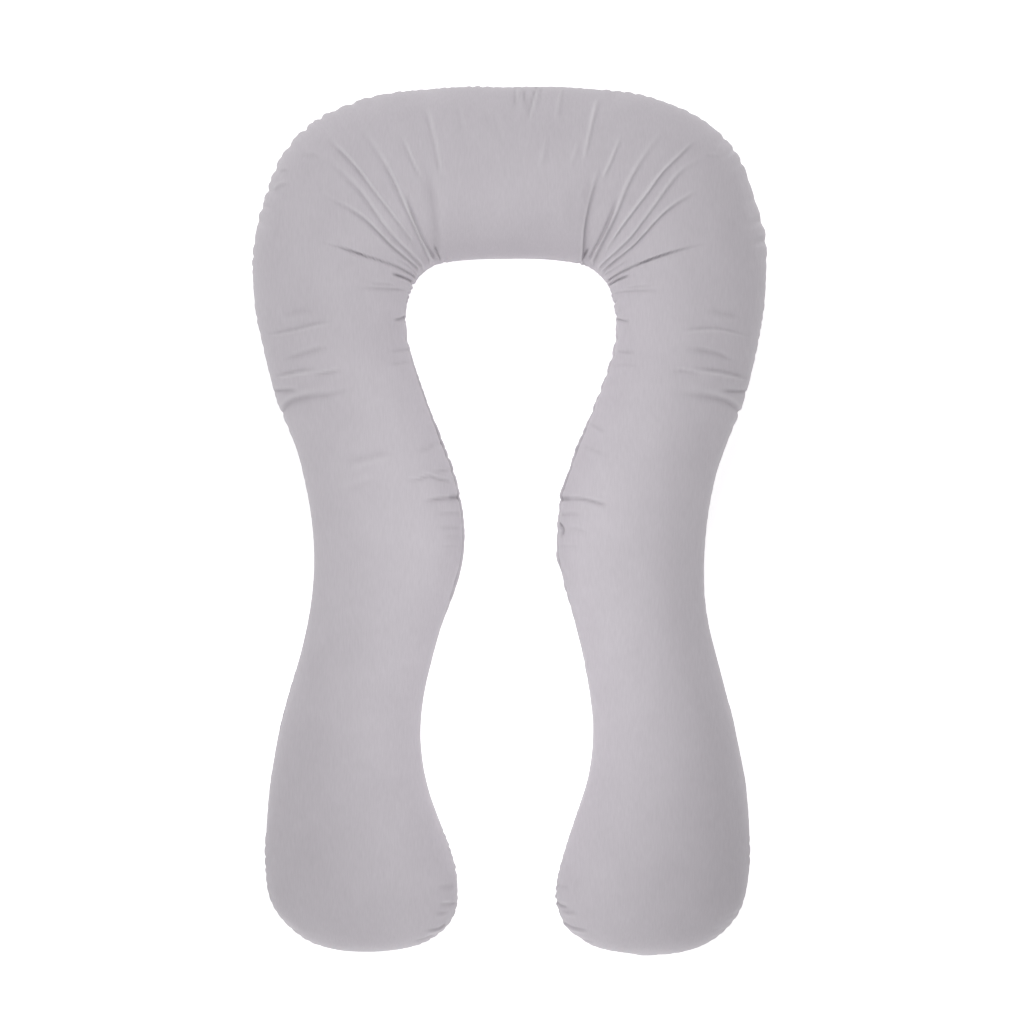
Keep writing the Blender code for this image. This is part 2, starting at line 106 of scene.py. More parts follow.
# Folds of the top panel, in mm, on the half of the pillow that the side names. The width and depth are
# the groove's. The ridge is the height of the roll of cloth beside it: above zero the roll lies on the
# left of someone walking the path on the right half, below zero on the right, and a left fold is the
# mirror image. It is never zero. The rim is the part of groove and roll at the path's first point. A
# path's points are x (from the middle line, always positive) and y, along the bottom of the groove.
Fold = namedtuple("Fold", "place side width depth ridge rim path")
FOLDS = [
    #    place           side  width depth ridge rim path
    Fold("fan a",        LEFT,  1.4, 6.6,  1.6, 0.7, [(167, 425), (207, 440), (257, 454), (338, 479)]),
    Fold("fan a under",  LEFT,  1.6, 5.0,  0.8, 0.9, [(172, 417), (188, 421), (208, 424)]),
    Fold("fan low 1",    LEFT,  2.2, 1.8,  0.7, 0.6, [(203, 405), (222, 405), (246, 404)]),
    Fold("fan low 2",    LEFT,  2.3, 2.4,  0.8, 0.5, [(184, 399), (216, 397), (272, 396)]),
    Fold("fan b",        LEFT,  2.4, 3.6,  2.6, 0.8, [(163, 438), (206, 470), (257, 517), (329, 557)]),
    Fold("fan b 2",      LEFT,  2.0, 1.2,  1.2, 1.0, [(165, 431), (182, 442), (203, 451)]),
    Fold("fan c",        LEFT,  3.4, 2.4,  2.4, 0.9, [(157, 443), (210, 492), (260, 560), (322, 621)]),
    Fold("fan c far",    LEFT,  2.6, 1.3,  0.8, 0.5, [(326, 621), (339, 626), (371, 626)]),
    Fold("fan d",        LEFT,  2.6, 2.5,  3.6, 0.5, [(173, 482), (223, 545), (265, 598), (323, 663)]),
    Fold("fan d far",    LEFT,  2.1, 2.2,  1.4, 0.2, [(246, 578), (256, 590), (272, 610), (293, 631),
                                                      (311, 646)]),
    Fold("fan e",        LEFT,  2.2, 3.6, -2.2, 1.0, [(134, 457), (152, 488), (168, 526), (182, 566)]),
    Fold("fan e upper",  LEFT,  2.9, 2.4,  2.8, 0.8, [(143, 452), (178, 526), (212, 598), (266, 682)]),
    Fold("fan f",        LEFT,  6.0, 1.0,  0.4, 0.6, [(125, 470), (130, 520), (140, 580), (154, 631)]),
    Fold("fan f 2",      LEFT,  2.6, 1.8,  3.0, 0.2, [(153, 583), (170, 613), (192, 664)]),
    Fold("fan g",        LEFT,  3.0, 1.4,  2.7, 0.0, [(119, 573), (128, 629), (142, 684), (152, 722)]),
    Fold("fan h",        LEFT,  1.2, 4.6, -1.0, 1.0, [(123, 455), (128, 466), (132, 474)]),
    Fold("hollow 1",     LEFT,  9.0, 1.2,  0.1, 1.0, [(133, 455), (130, 503), (137, 555), (147, 601)]),
    Fold("hollow 2",     LEFT,  7.0, 0.9,  0.1, 1.0, [(151, 447), (175, 483), (200, 514)]),
    Fold("fan a",        RIGHT, 1.4, 6.4,  1.6, 0.7, [(172, 419), (211, 435), (265, 453), (346, 475)]),
    Fold("fan a under",  RIGHT, 1.6, 4.8,  0.8, 0.8, [(174, 412), (190, 417), (208, 421)]),
    Fold("fan low 1",    RIGHT, 2.2, 1.4,  0.7, 0.6, [(205, 401), (224, 401), (248, 400)]),
    Fold("fan low 2",    RIGHT, 2.3, 1.8,  0.8, 0.5, [(185, 395), (215, 394), (266, 391)]),
    Fold("fan b",        RIGHT, 2.6, 2.9,  2.8, 0.8, [(165, 435), (207, 464), (232, 488), (254, 512),
                                                      (277, 532), (309, 552), (330, 559)]),
    Fold("fan b 2",      RIGHT, 2.0, 1.2,  1.2, 1.0, [(168, 429), (187, 437), (206, 447)]),
    Fold("fan c",        RIGHT, 2.9, 2.1,  2.4, 0.9, [(160, 442), (187, 463), (211, 485), (231, 511),
                                                      (250, 536), (271, 565), (291, 590), (316, 608),
                                                      (348, 624)]),
    Fold("fan d",        RIGHT, 2.8, 1.7,  4.0, 0.4, [(172, 470), (196, 504), (233, 551), (266, 593),
                                                      (331, 659)]),
    Fold("fan d far",    RIGHT, 2.1, 2.4,  1.2, 0.2, [(244, 567), (261, 591), (283, 613), (306, 636),
                                                      (321, 651)]),
    Fold("fan e",        RIGHT, 2.2, 3.6, -2.0, 1.0, [(139, 456), (159, 491), (175, 528), (185, 558)]),
    Fold("fan e upper",  RIGHT, 3.2, 1.6,  2.8, 0.8, [(148, 451), (181, 514), (213, 588), (279, 687)]),
    Fold("fan i",        RIGHT, 2.7, 2.4,  2.4, 0.9, [(128, 456), (131, 505), (142, 557), (159, 610)]),
    Fold("fan f",        RIGHT, 2.6, 0.9,  2.8, 0.0, [(159, 580), (173, 607), (199, 668)]),
    Fold("fan g",        RIGHT, 3.0, 0.9,  3.0, 0.0, [(127, 606), (138, 653), (150, 704), (158, 736)]),
    Fold("fan h",        RIGHT, 1.2, 4.6, -1.0, 1.0, [(126, 454), (131, 462), (136, 470)]),
    Fold("hollow 1",     RIGHT, 9.0, 2.1,  0.1, 1.0, [(133, 455), (130, 503), (135, 555), (144, 595)]),
    Fold("hollow 2",     RIGHT, 7.0, 1.8,  0.1, 1.0, [(145, 447), (165, 491), (186, 537)]),
    Fold("hollow 3",     RIGHT, 8.0, 1.0,  0.1, 1.0, [(175, 441), (210, 475), (247, 517)]),
    Fold("hollow 4",     RIGHT, 14.0, 0.9,  0.1, 0.2, [(110, 490), (106, 537), (104, 578)]),
    Fold("head 1",       RIGHT, 2.3, 3.4,  3.4, 1.0, [(45, 753), (40, 735), (33, 708), (27, 680)]),
    Fold("head 2",       RIGHT, 2.2, 1.6,  0.8, 1.0, [(54, 748), (51, 728), (47, 702)]),
    Fold("head 3",       RIGHT, 2.2, 3.0, -0.8, 1.0, [(22, 752), (25, 732), (28, 702)]),
    Fold("head 4",       RIGHT, 2.4, 2.2,  1.4, 1.0, [(7, 753), (8, 732), (11, 702)]),
    Fold("head 5",       RIGHT, 2.8, 0.8, -1.6, 0.8, [(92, 745), (87, 712), (84, 682)]),
    Fold("head 6",       RIGHT, 3.6, 0.9, -1.2, 0.0, [(66, 658), (63, 631), (57, 598)]),
    Fold("head 7",       RIGHT, 3.2, 0.5, -1.3, 0.0, [(122, 652), (115, 626), (107, 596)]),
    Fold("corner 1",     LEFT,  2.6, 1.6,  0.6, 0.3, [(384, 603), (394, 604), (403, 604)]),
    Fold("corner 2",     LEFT,  3.0, 1.2,  1.4, 0.3, [(381, 578), (400, 576), (413, 564)]),
    Fold("corner 1",     RIGHT, 2.6, 1.0,  0.8, 0.3, [(334, 626), (350, 625), (368, 624)]),
    Fold("head 1",       LEFT,  3.6, 0.7, -0.8, 0.0, [(95, 716), (88, 690), (83, 652)]),
    Fold("head 2",       LEFT,  3.6, 0.6, -0.7, 0.0, [(44, 712), (40, 690), (34, 660)]),
    Fold("head 3",       LEFT,  4.0, 0.6, -0.8, 0.0, [(32, 711), (26, 681), (17, 640)]),
    Fold("shoulder 0",   LEFT,  5.0, 1.3,  0.4, 0.0, [(393, 350), (364, 357), (330, 359)]),
    Fold("shoulder 1",   LEFT,  2.5, 2.2,  1.8, 0.4, [(417, 322), (378, 326), (335, 336), (300, 344)]),
    Fold("shoulder 2",   LEFT,  3.6, 2.4, -0.8, 0.2, [(390, 276), (361, 283), (332, 291), (306, 297)]),
    Fold("shoulder 3",   LEFT,  2.6, 2.3,  2.8, 0.3, [(407, 249), (370, 255), (328, 261)]),
    Fold("shoulder 4",   LEFT,  2.6, 2.6, -1.8, 0.3, [(336, 248), (312, 251), (286, 256)]),
    Fold("shoulder 5",   LEFT,  3.0, 3.0, -0.8, 1.0, [(412, 225), (392, 223), (362, 222)]),
    Fold("shoulder 6",   LEFT,  4.8, 3.4, -1.8, 0.8, [(402, 187), (382, 202), (352, 209), (292, 217)]),
    Fold("shoulder 7",   LEFT,  3.4, 1.6, -0.6, 0.2, [(334, 210), (302, 216), (272, 224)]),
    Fold("shoulder 0",   RIGHT, 5.0, 1.4,  0.4, 0.0, [(396, 349), (366, 354), (332, 360)]),
    Fold("shoulder 1",   RIGHT, 2.5, 1.6,  1.6, 0.4, [(413, 318), (360, 328), (322, 328), (290, 325)]),
    Fold("shoulder 2",   RIGHT, 3.6, 2.7, -0.4, 0.2, [(389, 272), (357, 284), (325, 290), (302, 292)]),
    Fold("shoulder 3",   RIGHT, 2.6, 2.7,  2.8, 0.3, [(412, 246), (361, 255), (308, 262)]),
    Fold("shoulder 4",   RIGHT, 2.6, 2.2, -1.2, 0.3, [(324, 250), (301, 253), (276, 256)]),
    Fold("shoulder 5",   RIGHT, 2.8, 3.4, -0.8, 1.0, [(413, 224), (387, 222), (358, 223)]),
    Fold("shoulder 6",   RIGHT, 4.8, 3.4, -1.8, 0.9, [(403, 188), (377, 202), (347, 209), (288, 217)]),
    Fold("shoulder 7",   RIGHT, 3.4, 0.5, -0.3, 0.2, [(328, 210), (301, 215), (272, 222)]),
    Fold("inner 1",      LEFT,  2.2, 3.8,  0.8, 1.0, [(184, 356), (192, 349), (203, 345)]),
    Fold("inner 2",      LEFT,  2.4, 2.3, -0.6, 1.0, [(179, 298), (191, 294), (210, 290)]),
    Fold("inner 3",      LEFT,  2.4, 2.0, -0.6, 0.8, [(175, 276), (191, 271), (214, 267)]),
    Fold("inner 4",      LEFT,  2.8, 1.7, -0.4, 0.6, [(133, 127), (142, 123), (162, 116)]),
    Fold("inner 5",      LEFT,  2.4, 1.5, -0.4, 1.0, [(120, 133), (131, 132), (146, 128)]),
    Fold("inner 1",      RIGHT, 2.2, 2.9,  0.8, 1.0, [(185, 352), (195, 346), (207, 342)]),
    Fold("inner 2",      RIGHT, 2.4, 2.4, -0.4, 1.0, [(186, 294), (197, 291), (218, 289)]),
    Fold("inner 3",      RIGHT, 2.6, 1.1, -0.4, 0.8, [(179, 269), (197, 269), (222, 266)]),
    Fold("inner 4",      RIGHT, 2.6, 1.7, -0.4, 1.0, [(139, 167), (151, 159), (168, 150)]),
    Fold("inner 5",      RIGHT, 2.8, 1.3, -0.3, 1.0, [(129, 127), (145, 120), (170, 107)]),
    Fold("waist 0",      LEFT,  2.2, 2.2,  1.0, 1.0, [(106, 88), (122, 84), (136, 82)]),
    Fold("waist 1",      LEFT,  2.4, 3.3,  1.8, 0.9, [(107, 67), (126, 71), (141, 75), (160, 68),
                                                      (186, 66)]),
    Fold("waist 2",      LEFT,  2.6, 4.3,  1.4, 1.0, [(90, 38), (118, 36), (152, 30)]),
    Fold("waist 3",      LEFT,  2.4, 2.2,  0.8, 1.0, [(89, 11), (105, 11), (126, 9)]),
    Fold("waist 4",      LEFT,  2.3, 2.2,  0.8, 1.0, [(88, -13), (103, -13), (124, -14)]),
    Fold("waist notch",  LEFT,  4.6, 3.6,  0.4, 1.0, [(86, 41), (96, 39), (108, 38)]),
    Fold("waist 5",      LEFT,  2.2, 1.5,  0.6, 1.0, [(88, -30), (102, -30), (120, -31)]),
    Fold("waist 6",      LEFT,  2.2, 1.2,  0.6, 1.0, [(89, -44), (104, -45), (119, -47)]),
    Fold("waist long 1", LEFT,  5.0, 1.4, -1.1, 0.0, [(200, 116), (249, 107), (290, 92)]),
    Fold("waist long 2", LEFT,  5.0, 0.6,  0.7, 0.0, [(226, 70), (261, 56), (298, 41)]),
    Fold("waist 2",      RIGHT, 2.6, 4.6,  1.4, 1.0, [(89, 37), (123, 36), (154, 28), (168, 25)]),
    Fold("waist notch",  RIGHT, 3.8, 3.2,  0.4, 1.0, [(85, 37), (94, 37), (106, 36)]),
    Fold("waist 3",      RIGHT, 2.8, 2.2,  0.7, 1.0, [(89, 9), (105, 10), (128, 8)]),
    Fold("waist loop",   RIGHT, 2.0, 6.0, -1.4, 1.0, [(84, -6), (91, -18), (85, -32)]),
    Fold("waist 5",      RIGHT, 2.4, 1.3,  0.5, 0.6, [(100, -16), (118, -17), (139, -26)]),
    Fold("waist 4",      RIGHT, 2.4, 0.8,  0.4, 1.0, [(87, -46), (104, -46), (124, -47)]),
    Fold("foot 1",       LEFT,  2.6, 3.0,  2.6, 1.0, [(93, -671), (106, -669), (118, -668)]),
    Fold("foot 2",       LEFT,  2.4, 3.0, -2.0, 1.0, [(110, -708), (118, -713), (130, -714),
                                                      (146, -713)]),
    Fold("foot 3",       LEFT,  3.0, 2.4, -1.0, 0.6, [(104, -684), (114, -684), (126, -682)]),
    Fold("foot 4",       LEFT,  3.4, 2.2,  0.6, 1.0, [(95, -639), (107, -638), (122, -637)]),
    Fold("foot 5",       LEFT,  2.6, 3.0,  1.4, 0.8, [(132, -726), (146, -731), (165, -733)]),
    Fold("foot 1",       RIGHT, 2.6, 4.0,  2.4, 1.0, [(83, -672), (94, -674), (108, -675)]),
    Fold("foot 2",       RIGHT, 2.4, 3.0, -2.2, 1.0, [(103, -707), (114, -711), (128, -712),
                                                      (142, -712)]),
    Fold("foot 3",       RIGHT, 3.0, 2.6, -1.2, 0.6, [(98, -684), (109, -683), (122, -682)]),
    Fold("foot 4",       RIGHT, 3.4, 1.7,  0.5, 1.0, [(86, -642), (97, -641), (110, -640)]),
    Fold("foot 5",       RIGHT, 2.6, 3.0,  1.4, 0.8, [(122, -729), (137, -734), (155, -736)]),
]

# Puckers along the seam: the edge, the stretch they lie in (first and last row of SECTIONS, counted
# from 0), their pitch and depth, and how far they reach from the seam.
Pucker = namedtuple("Pucker", "edge first last pitch_mm depth_mm reach_mm")
PUCKERS = [
    Pucker("outer",  0.0,  1.8,  16, 1.3,  30),
    Pucker("outer",  1.8,  9.0,  20, 1.5,  24),
    Pucker("outer",  2.2,  8.6,  34, 1.2,  70),
    Pucker("outer",  9.0, 13.0,  16, 0.8,  20),
    Pucker("outer",  9.5, 13.0,  30, 0.7,  55),
    Pucker("outer", 13.0, 22.0,  24, 0.4,  18),
    Pucker("outer", 22.0, 28.0,  18, 1.1,  22),
    Pucker("inner",  1.6,  9.5,   9, 1.0,  20),
    Pucker("inner",  2.0,  9.5,  17, 1.2,  42),
    Pucker("inner",  9.5, 15.0,  16, 0.5,  20),
    Pucker("inner",  9.5, 15.5,  34, 0.9,  45),
    Pucker("inner", 16.0, 21.0,  26, 0.5,  18),
    Pucker("inner", 21.5, 28.0,  15, 1.5,  24),
]
PUCKER_BLEND = 0.5          # how far each stretch fades in and out at its ends, in rows of SECTIONS
PUCKER_SEED, NEXT_PUCKER_SEED = 1.0, 3.7    # seed of the first row's wander, and the step to the next

# How uneven the puckers are.
PHASE_DRIFT, PHASE_PITCHES = 5.0, 4.0       # how far their phase strays, and over how many pitches
SPREAD, SPREAD_PITCHES = 1.9, 2.5           # how far their strength strays, and over how many pitches
STRENGTH, WEAKEST, STRONGEST = 0.8, 0.15, 1.7
SPREAD_SEED = 9.0           # from the seed of the phase to the seed of the strength
NOTCH_POWER = 2.6           # above 1 the notches are narrower than the puffs between them

# Where the stuffed edge stands out from its even line, or falls back: the side and the edge, the place
# and the half length along Y, how far it stands out, and how far from the edge this reaches, all in mm.
Bulge = namedtuple("Bulge", "side edge y_mm half_mm out_mm reach_mm")
BULGES = [
    Bulge(LEFT,  "inner", -500, 150, -3.8, 60),
    Bulge(LEFT,  "inner",   70,  60,  1.0, 50),
    Bulge(LEFT,  "inner",  160,  20,  1.2, 30),
    Bulge(RIGHT, "inner",  250, 110, -5.0, 60),
    Bulge(RIGHT, "inner",  -80, 170, -4.4, 60),
    Bulge(RIGHT, "inner",  160,  18,  1.2, 30),
    Bulge(RIGHT, "inner",  128,  18,  2.0, 30),
    Bulge(RIGHT, "inner",   48,  20,  4.2, 30),
    Bulge(RIGHT, "inner",  -66,  20,  3.4, 30),
    Bulge(RIGHT, "inner",  -98,  14, -2.4, 30),
    Bulge(RIGHT, "inner", -575,  70, -3.0, 50),
    Bulge(RIGHT, "inner", -745,  40,  3.0, 70),
    Bulge(RIGHT, "outer",  400,  80, -2.6, 60),
    Bulge(RIGHT, "outer", -330, 120,  3.0, 60),
    Bulge(RIGHT, "outer", -745,  55,  4.6, 80),
]

# The seam: a soft valley, and in it the narrow groove where the two panels meet. Over the inner sides
# of the legs it rides above the widest line, and its groove gapes. Rows are those of SECTIONS.
SEAM_DRAW_MM, SEAM_VALLEY_MM = 2.6, 11.0        # depth and half width of the valley
STITCH_DRAW_MM, STITCH_GROOVE_MM = 1.8, 2.4     # the same of the groove in it
GAPE_DRAW_MM, GAPE_GROOVE_MM = 3.2, 5.5         # the same where the groove gapes
GAPE = (11.0, 12.2, 13.8, 15.0)     # rows where the gape starts, is full, ends and is gone
GAPE_PART, GAPE_SPREAD = 0.9, 1.2   # how far it is open, and how far this strays
GAPE_RUN_MM = 22.0          # length over which it strays
SEAM_WANDER_MM, SEAM_RUN_MM = 5.0, 90.0     # how far the seam strays up and down, and over what length
SEAM_CLIMB_MM = 13.0        # how far it rides up over the inner sides of the legs
CLIMB = (9.0, 11.0, 15.5, 18.0)     # the same rows of this climb
CLIMB_STEADIES = 0.6        # part of the wander that goes where the climb is full
OUTER_SEED, INNER_SEED, GAPE_SEED = 21.0, 22.0, 23.0
STITCH_SHADE = 0.5          # how dark the shade painted in the stitched groove is
SEAM_SHADE, SEAM_SHADE_MM = 0.08, 24.0      # how much shade is painted on the cloth by the seam, and how far
SHADE_FROM, SHADE_FULL = 1.0, 3.5           # rows between which this shade comes in
HEAD_SHADE, HEAD_SHADE_MM = 0.16, 34.0      # the same by the inner seam of the head end
HEAD_SHADE_FULL, HEAD_SHADE_GONE = 2.0, 4.0     # rows between which it goes

# The filling's soft lumps: how many to a metre and how high, for the broad and for the small ones.
BROAD_LUMPS, BROAD_LUMP_MM = 9.0, 1.6
SMALL_LUMPS, SMALL_LUMP_MM = 23.0, 0.5
SMALL_SHIFT = Vector((5.0, 0.0, 0.0))       # keeps the small lumps from following the broad ones

TINY = 1e-9                 # keeps a length of nothing out of a division


def smoothstep(low, high, value):
    """Rise from 0 at low to 1 at high with level ends. Low may be the larger one."""
    part = np.clip((value - low) / (high - low), 0.0, 1.0)
    return part * part * (3.0 - 2.0 * part)


def stretch(value, start, full, end, gone):
    """Rise from 0 at the start to 1 at full, and fall from 1 at the end to 0 where it is gone."""
    return smoothstep(start, full, value) * smoothstep(gone, end, value)


def bell(value):
    """1 at zero, and soon nothing on both sides of it."""
    return np.exp(-value * value)


# --- the smooth body ---

def closed_spline(points):
    """Slopes of the smooth closed curve through the points, one unit of parameter apart."""
    count = len(points)
    matrix = 4.0 * np.eye(count)
    matrix += np.roll(np.eye(count), 1, axis=1) + np.roll(np.eye(count), -1, axis=1)
    rates = 3.0 * (np.roll(points, -1, axis=0) - np.roll(points, 1, axis=0))
    return np.linalg.solve(matrix, rates)


def on_spline(points, slopes, parameter):
    """Points of the closed curve at an array of parameters."""
    count = len(points)
    whole = np.floor(parameter).astype(int)
    t = (parameter - whole)[:, None]
    here = whole % count
    there = (whole + 1) % count
    value = points[here] * (2 * t**3 - 3 * t**2 + 1) + slopes[here] * (t**3 - 2 * t**2 + t)
    value += points[there] * (3 * t**2 - 2 * t**3) + slopes[there] * (t**3 - t**2)
    return value


def outline_loop():
    """Every edge point once round: outer left, inner left, inner right and outer right."""
    outer = np.array([(row.outer_x, row.outer_y, row.crown, row.drop) for row in SECTIONS], float)
    inner = np.array([(row.inner_x, row.inner_y, row.crown, row.drop) for row in SECTIONS], float)
    # Past a tip the heights go on as if they passed through zero, which keeps the tip round.
    inner[:, 2:] *= -1.0
    left = np.concatenate([outer, inner[-2::-1]])
    left[:, 0] *= LEFT
    right = np.concatenate([inner[1:], outer[-2:0:-1]])
    return np.concatenate([left, right]) * MM


def station_parameters():
    """Section parameters from the left tip (negative) over the head middle (0) to the right tip."""
    half = []
    for index, row in enumerate(SECTIONS[:-1]):
        half.extend(index + step / row.steps for step in range(row.steps))
    half = np.array(half[1:])
    return np.concatenate([-half[::-1], [0.0], half])


def sections(parameters):
    """Outer point, inner point, crown and drop of the section at each parameter."""
    loop = outline_loop()
    slopes = closed_spline(loop)
    last = len(SECTIONS) - 1
    count = len(loop)
    outer = on_spline(loop, slopes, np.where(parameters <= 0, -parameters, count - parameters))
    inner = on_spline(loop, slopes, 2.0 * last + parameters)
    crown = np.abs(outer[:, 2])
    drop = np.minimum(np.abs(outer[:, 3]), SEAM_HEIGHT)
    return outer[:, :2], inner[:, :2], crown, drop


def ring_profile():
    """Unit section once round: across (-1 outer, 1 inner) and height (1 crown, 0 seam, -1 base)."""
    rows = []
    for step in range(TOP_STEPS):
        t = step / TOP_STEPS
        angle = np.pi * (t - EDGE_CROWDING * np.sin(2.0 * np.pi * t) / (2.0 * np.pi))
        rows.append((-np.cos(angle), np.sin(angle) ** CROWN_POWER))
    side = [0.5 * np.pi * (step / SIDE_STEPS) ** SIDE_CROWDING for step in range(SIDE_STEPS)]
    rows.extend((CONTACT + (1.0 - CONTACT) * np.cos(angle), -np.sin(angle)) for angle in side)
    for step in range(BASE_STEPS + 1):
        rows.append((CONTACT * (1.0 - 2.0 * step / BASE_STEPS), -1.0))
    rows.extend((-CONTACT - (1.0 - CONTACT) * np.cos(angle), -np.sin(angle)) for angle in side[:0:-1])
    return np.array(rows)


def body_grid(parameters):
    """Points of the smooth body: a ring of points for each station."""
    outer, inner, crown, drop = sections(parameters)
    profile = ring_profile()
    chord = 0.5 * (inner - outer)
    half_width = np.linalg.norm(chord, axis=1)
    reach = profile[:, 0] * (1.0 + SIDE_SWELL / np.maximum(half_width, NARROWEST)[:, None])
    grid = np.zeros((len(parameters), len(profile), 3))
    middle = 0.5 * (inner + outer)
    grid[:, :, :2] = middle[:, None, :] + chord[:, None, :] * reach[:, :, None]
    above = np.clip(profile[:, 1], 0.0, 1.0)
    below = np.clip(profile[:, 1], -1.0, 0.0)
    grid[:, :, 2] = SEAM_HEIGHT + crown[:, None] * above + drop[:, None] * below
    return grid


def grid_normals(grid):
    """Outward unit normals of the grid."""
    along = np.gradient(grid, axis=0)
    round_it = np.roll(grid, -1, axis=1) - np.roll(grid, 1, axis=1)
    normal = np.cross(round_it, along)
    return normal / np.linalg.norm(normal, axis=2, keepdims=True)


# --- folds ---

PATH_POINTS = 28            # points of the smooth line through a fold's own points
FOLD_REACH = 7.0            # widths from the path past which a fold does nothing
GROOVE_POINT = 1.5          # 2 is a round groove, towards 1 a pointed one
START_WIDTH, END_WIDTH = 0.8, 1.3       # the fold's width at its two ends, as parts of its own
FADE_IN = 0.25              # part of the path over which a fold grows from its rim
FADE_OUT = 0.62             # part of the path from which every fold dies out
CREST_AT, CREST_WIDTH = 1.15, 1.3       # the roll's place beside the groove, in the fold's widths
HIGHLIGHT_AT, HIGHLIGHT_WIDTH = 1.95, 0.9         # the lit flank of the roll, where a highlight is painted, in the fold's widths
BRIGHTEST_HIGHLIGHT_RIDGE_MM = 3.4         # a roll this high gets the brightest painted highlight
FOLDS_FROM, FOLDS_FULL = 0.5, 1.05      # heights between which the folds come in, in seam heights


def smooth_path(points):
    """A smooth line through a fold's points, by Catmull-Rom."""
    points = np.array(points, float)
    before = 2.0 * points[0] - points[1]
    after = 2.0 * points[-1] - points[-2]
    knots = np.concatenate([[before], points, [after]])
    place = np.linspace(0.0, len(points) - 1.0, PATH_POINTS)
    index = np.minimum(place.astype(int), len(points) - 2)
    t = (place - index)[:, None]
    p0, p1, p2, p3 = (knots[index + shift] for shift in range(4))
    line = 2 * p1 + (p2 - p0) * t + (2 * p0 - 5 * p1 + 4 * p2 - p3) * t**2
    return 0.5 * (line + (3 * p1 - p0 - 3 * p2 + p3) * t**3)


def along_path(path, plan):
    """Signed distance of each plan point from the path (left of it positive), and its place on it."""
    best = np.full(len(plan), np.inf)
    signed = np.full(len(plan), np.inf)
    place = np.zeros(len(plan))
    for index in range(len(path) - 1):
        first = path[index]
        run = path[index + 1] - first
        away = plan - first
        t = np.clip((away @ run) / (run @ run), 0.0, 1.0)
        distance = np.linalg.norm(away - t[:, None] * run, axis=1)
        side = np.sign(run[0] * away[:, 1] - run[1] * away[:, 0])
        nearer = distance < best
        best = np.where(nearer, distance, best)
        signed = np.where(nearer, distance * side, signed)
        place = np.where(nearer, (index + t) / (len(path) - 1), place)
    return signed, place


def fold_shape(fold, plan_mm, upper):
    """Groove and roll of the fold at each plan point, in mm, and the highlight painted on its lit
    flank, 0 to 1.
    """
    mirrored = plan_mm * (fold.side, 1.0)
    path = smooth_path(fold.path)
    margin = FOLD_REACH * fold.width
    low = path.min(axis=0) - margin
    high = path.max(axis=0) + margin
    near = np.nonzero(((mirrored > low) & (mirrored < high)).all(axis=1) & upper)[0]
    shape = np.zeros((3, len(plan_mm)))
    signed, place = along_path(path, mirrored[near])
    width = fold.width * (START_WIDTH + (END_WIDTH - START_WIDTH) * place)
    away = signed / width * np.sign(fold.ridge)
    fade = fold.rim + (1.0 - fold.rim) * smoothstep(0.0, FADE_IN, place)
    fade = fade * smoothstep(1.0, FADE_OUT, place)
    ridge = abs(fold.ridge) * fade
    shape[0, near] = fold.depth * fade * np.exp(-np.abs(away) ** GROOVE_POINT)
    shape[1, near] = ridge * bell((away - CREST_AT) / CREST_WIDTH)
    # Painted highlight on the roll's flank that faces the light.
    shape[2, near] = ridge / BRIGHTEST_HIGHLIGHT_RIDGE_MM * bell((away - HIGHLIGHT_AT) / HIGHLIGHT_WIDTH)
    return shape


def all_folds(grid):
    """Summed grooves, rolls and painted highlights on the lit flanks of every fold on the upper half of
    the grid.
    """
    upper = (grid[:, :, 2] > FOLDS_FROM * SEAM_HEIGHT).reshape(-1)
    plan_mm = grid[:, :, :2].reshape(-1, 2) / MM
    total = sum(fold_shape(fold, plan_mm, upper) for fold in FOLDS)
    side_fade = smoothstep(FOLDS_FROM * SEAM_HEIGHT, FOLDS_FULL * SEAM_HEIGHT, grid[:, :, 2])
    return total.reshape(3, *grid.shape[:2]) * side_fade


# --- seam and puckers ---

def edge_lengths(grid, ring_index):
    """Length along the seam at each station, in mm."""
    line = grid[:, ring_index]
    steps = np.linalg.norm(np.diff(line, axis=0), axis=1)
    return np.concatenate([[0.0], np.cumsum(steps)]) / MM


def seam_distance(grid):
    """Distance round the section from the outer and the inner edge, in mm, positive over the top."""
    steps = np.linalg.norm(np.roll(grid, -1, axis=1) - grid, axis=2) / MM
    total = steps.sum(axis=1, keepdims=True)
    walked = np.concatenate([np.zeros((len(grid), 1)), np.cumsum(steps, axis=1)[:, :-1]], axis=1)
    outer = np.where(walked > 0.5 * total, walked - total, walked)
    inner = walked[:, TOP_STEPS:TOP_STEPS + 1] - walked
    return outer, inner


def wander(length, scale, seed):
    """A slow random wander along the seam, about -0.5 to 0.5."""
    return np.array([noise.noise(Vector((s / scale, seed, 0.5))) for s in length])


def uneven_wave(length, pitch, seed):
    """A wave along the seam whose pitch and height wander: -1 in the notches, 1 on the puffs."""
    drift = PHASE_DRIFT * wander(length, PHASE_PITCHES * pitch, seed)
    wave = np.sin(2.0 * np.pi * length / pitch + drift)
    strength = STRENGTH + SPREAD * wander(length, SPREAD_PITCHES * pitch, seed + SPREAD_SEED)
    notched = 1.0 - 2.0 * ((1.0 - wave) * 0.5) ** NOTCH_POWER
    return notched * np.clip(strength, WEAKEST, STRONGEST)


def pucker_height(grid, parameters):
    """Lift of each point by the puckers along the seam, in mm."""
    outer_away, inner_away = seam_distance(grid)
    height = np.zeros(grid.shape[:2])
    for number, pucker in enumerate(PUCKERS):
        away, ring = (outer_away, 0) if pucker.edge == "outer" else (inner_away, TOP_STEPS)
        seed = NEXT_PUCKER_SEED * number + PUCKER_SEED
        wave = uneven_wave(edge_lengths(grid, ring), pucker.pitch_mm, seed)
        part = stretch(np.abs(parameters), pucker.first - PUCKER_BLEND, pucker.first + PUCKER_BLEND,
                       pucker.last - PUCKER_BLEND, pucker.last + PUCKER_BLEND)
        height += pucker.depth_mm * (wave * part)[:, None] * bell(away / pucker.reach_mm)
    return height


